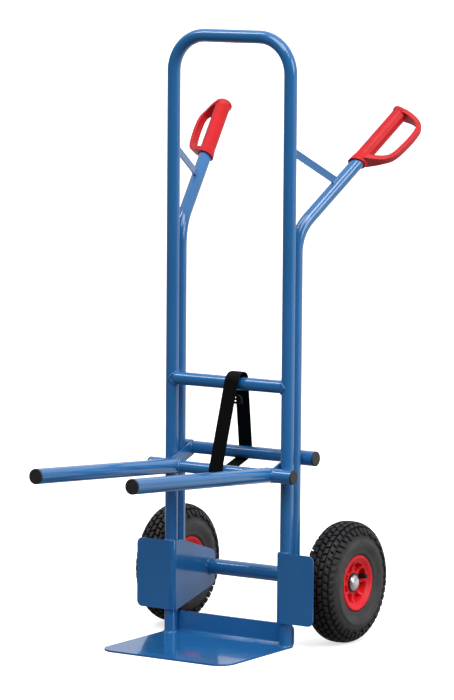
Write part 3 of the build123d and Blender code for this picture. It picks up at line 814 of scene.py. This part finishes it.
def webbing_strap():
    """Flat loop with rounded selvedges; U runs along the webbing and V across it, in metres."""
    line = strap_path()
    bm = bmesh.new()
    uv = bm.loops.layers.uv.new("UVMap")
    section = []
    for k in range(STRAP_COLUMNS + 1):
        u = -1 + 2 * k / STRAP_COLUMNS
        section.append((u * STRAP_HALF, STRAP_T / 2 * sqrt(max(1 - abs(u) ** 12, 0)) + 0.05 * MM))
    section += [(u, -t) for u, t in reversed(section)]
    rings = []
    along = [0.0]
    for i, point in enumerate(line):
        direction = (line[(i + 1) % len(line)] - line[i - 1]).normalized()
        normal = Vector((-direction.y, direction.x))
        x = strap_middle_x(point.x, point.y)
        ring = []
        for u, t in section:
            ring.append(bm.verts.new((x + u, point.x + normal.x * t, point.y + normal.y * t)))
        rings.append(ring)
        along.append(along[-1] + (line[(i + 1) % len(line)] - point).length)
    for i in range(len(rings)):
        ring, after = rings[i], rings[(i + 1) % len(rings)]
        for j in range(len(section)):
            k = (j + 1) % len(section)
            face = bm.faces.new((ring[j], ring[k], after[k], after[j]))
            corners = ((i, j), (i, k), (i + 1, k), (i + 1, j))
            for loop, (row, column) in zip(face.loops, corners):
                loop[uv].uv = (along[row], section[column][0])
    strap = piece(bm, "webbing_strap", "webbing", None, ["strap"], sharp=60)
    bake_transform(strap)


def slide_buckle():
    """Ladder buckle: a rounded frame with a ribbed middle bar, on the strap's rear leg."""
    low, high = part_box("strap_buckle")
    centre = (low + high) / 2
    bm = bmesh.new()
    half_w = (high.x - low.x) / 2 - 2.6 * MM
    half_h = (high.z - low.z) / 2 - 3.2 * MM
    lean = Vector((0, REAR_BAR.y - UPRIGHT_Y + 12 * MM, REAR_BAR.z - MID_TUBE_Z)).normalized()
    loop = []
    for sx, sz, start in ((1, 1, 0), (-1, 1, 90), (-1, -1, 180), (1, -1, 270)):
        for k in range(5):
            angle = radians(start + 90 * k / 4)
            u = sx * (half_w - BUCKLE_CORNER) + BUCKLE_CORNER * cos(angle)
            v = sz * (half_h - BUCKLE_CORNER) + BUCKLE_CORNER * sin(angle)
            loop.append((u, v))
    corners = [centre + Vector((u, 0, 0)) - lean * v for u, v in loop]
    line = resampled(corners, 1.5 * MM, True)[0]
    tube_skin(bm, line, [BUCKLE_FRAME_R] * len(line), BUCKLE_SIDES, True)
    bar = []
    radii = []
    for k in range(BUCKLE_BAR_STEPS + 1):
        bar.append(centre + Vector((half_w * (-1 + 2 * k / BUCKLE_BAR_STEPS), 0, 0)))
        radii.append(BUCKLE_BAR_R + BUCKLE_RIDGE * (k % 2))
    tube_skin(bm, bar, radii, BUCKLE_SIDES, False)
    piece(bm, "slide_buckle", "buckle", "frame", ["strap_buckle"])


# ---------------------------------------------------------------- softened CAD nodes

def soften_sheet(name, width=0.55 * MM):
    """Takes the razor edge off flat sheet and bar."""
    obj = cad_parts[name]
    weld = obj.modifiers.new("join", "WELD")
    weld.merge_threshold = 0.01 * MM
    bevel = obj.modifiers.new("edge", "BEVEL")
    bevel.width = width
    bevel.segments = 2
    bevel.limit_method = "ANGLE"
    bevel.angle_limit = radians(50)
    bevel.harden_normals = False


def soften_grip(word):
    """Rounds the moulded grip's edges."""
    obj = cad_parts[f"grip_{word}"]
    remesh = obj.modifiers.new("skin", "REMESH")
    remesh.mode = "VOXEL"
    remesh.voxel_size = 0.9 * MM
    remesh.use_smooth_shade = True
    relax = obj.modifiers.new("round", "SMOOTH")
    relax.factor = 0.5
    relax.iterations = 2


# ---------------------------------------------------------------- stage, light and camera

CAMERA_AZIMUTH = radians(33.003)
CAMERA_ELEVATION = radians(6.682)
CAMERA_ROLL = radians(0.420)
CAMERA_DISTANCE = 8.497
CAMERA_LENS = 206.416
CAMERA_TARGET = Vector((-7.10 * MM, UPRIGHT_Y, 622.87 * MM))
BOX_WIDTH = 0.6
BOX_HEIGHT = 1.8
BOX_AIM = Vector((0, 0, 0.6))
ROOM_BRIGHT_WAY = (0, 0.5, 0.86)
ROOM_DARK = (0.05, 0.055, 0.06)
ROOM_BRIGHT = (0.78, 0.79, 0.82)
FLOOR_R = 60
FLOOR_SIDES = 96


def studio_way(azimuth, elevation):
    """Unit vector from the object; azimuth 0 is the front, and it grows towards the right."""
    return Vector((sin(azimuth) * cos(elevation), -cos(azimuth) * cos(elevation), sin(elevation)))


def camera():
    data = bpy.data.cameras.new("camera")
    data.lens = CAMERA_LENS
    data.sensor_width = 36
    data.clip_end = 200
    obj = bpy.data.objects.new("camera", data)
    bpy.context.scene.collection.objects.link(obj)
    back = studio_way(CAMERA_AZIMUTH, CAMERA_ELEVATION)
    right = Vector((cos(CAMERA_AZIMUTH), sin(CAMERA_AZIMUTH), 0))
    up = back.cross(right)
    right_rolled = right * cos(CAMERA_ROLL) + up * sin(CAMERA_ROLL)
    up_rolled = up * cos(CAMERA_ROLL) - right * sin(CAMERA_ROLL)
    rotation = Matrix((right_rolled, up_rolled, back)).transposed().to_4x4()
    obj.matrix_world = Matrix.Translation(CAMERA_TARGET + back * CAMERA_DISTANCE) @ rotation
    bpy.context.scene.camera = obj


def aimed_light(data, back):
    obj = bpy.data.objects.new(data.name, data)
    bpy.context.scene.collection.objects.link(obj)
    obj.rotation_mode = "QUATERNION"
    obj.rotation_quaternion = back.to_track_quat("Z", "Y")
    return obj


def softbox(name, azimuth, elevation, distance, power):
    data = bpy.data.lights.new(name, "AREA")
    data.shape = "RECTANGLE"
    data.size = BOX_WIDTH
    data.size_y = BOX_HEIGHT
    data.energy = power
    back = studio_way(radians(azimuth), radians(elevation))
    aimed_light(data, back).location = BOX_AIM + back * distance


def sun(name, azimuth, elevation, strength, spread):
    data = bpy.data.lights.new(name, "SUN")
    data.energy = strength
    data.angle = radians(spread)
    aimed_light(data, studio_way(radians(azimuth), radians(elevation)))


def backdrop():
    """White to the camera; to the object, a room that is bright above and behind and dark in front."""
    world = bpy.data.worlds.new("studio")
    bpy.context.scene.world = world
    world.use_nodes = True
    world.node_tree.nodes.clear()
    coords = add(world, "ShaderNodeTexCoord").outputs["Generated"]
    toward = add(world, "ShaderNodeVectorMath", {0: coords, 1: ROOM_BRIGHT_WAY},
                 operation="DOT_PRODUCT").outputs["Value"]
    shade = ramp(world, toward, [(0.0, ROOM_DARK), (0.8, ROOM_BRIGHT)])
    room = add(world, "ShaderNodeBackground", {"Color": shade}).outputs[0]
    seen = add(world, "ShaderNodeBackground", {"Color": (1, 1, 1, 1), "Strength": 1.05}).outputs[0]
    camera_ray = add(world, "ShaderNodeLightPath").outputs["Is Camera Ray"]
    choose = add(world, "ShaderNodeMixShader", {"Fac": camera_ray, 1: room, 2: seen}).outputs[0]
    add(world, "ShaderNodeOutputWorld", {"Surface": choose})


def floor():
    """Glows white to the camera; to the object it glows behind and is dark in front."""
    mat = material("studio_floor", Roughness=0.9, Specular_IOR_Level=0.1, Emission_Strength=0.66)
    camera_ray = add(mat, "ShaderNodeLightPath").outputs["Is Camera Ray"]
    grain = ramp(mat, noise(mat, 3, 3), [(0.3, 0.86), (0.7, 0.89)])
    spot = add(mat, "ShaderNodeSeparateXYZ", {0: place(mat, (0.4, 0.4, 1))}).outputs["Y"]
    sheen = ramp(mat, spot, [(0.0, 0.02), (0.35, 1.0)])
    feed(mat, "Base Color", mixed(mat, camera_ray, (0.10, 0.10, 0.10), grain))
    feed(mat, "Emission Color", mixed(mat, camera_ray, sheen, (1, 1, 1)))
    bm = bmesh.new()
    edge = []
    for k in range(FLOOR_SIDES):
        turn = tau * k / FLOOR_SIDES
        edge.append(bm.verts.new((FLOOR_R * cos(turn), FLOOR_R * sin(turn), 0)))
    bm.faces.new(edge)
    mesh = bpy.data.meshes.new("studio_floor")
    bm.to_mesh(mesh)
    bm.free()
    mesh.materials.append(mat)
    obj = bpy.data.objects.new("studio_floor", mesh)
    bpy.context.scene.collection.objects.link(obj)


def studio():
    bpy.context.scene.view_settings.view_transform = "Standard"
    backdrop()
    floor()
    sun("key_sun", 15, 56, 1.55, 40)
    sun("side_sun", 92, 18, 1.0, 30)
    softbox("right_box", 70, 56, 3.6, 28)
    softbox("left_box", -60, 58, 3.8, 28)
    camera()


# ---------------------------------------------------------------- assembly

paint_nodes()
frame_welds()
carrier_welds()
for side, word in SIDES:
    tyre(side, word)
    rim(side, word, 1, "outer")
    rim(side, word, -1, "inner")
    push_cap(side, word)
    soften_grip(word)
    soften_sheet(f"bracket_{word}")
    soften_sheet(f"handle_brace_{word}")
    soften_sheet(f"carrier_link_{word}")
soften_sheet("toe_plate", 0.8 * MM)
webbing_strap()
slide_buckle()
studio()
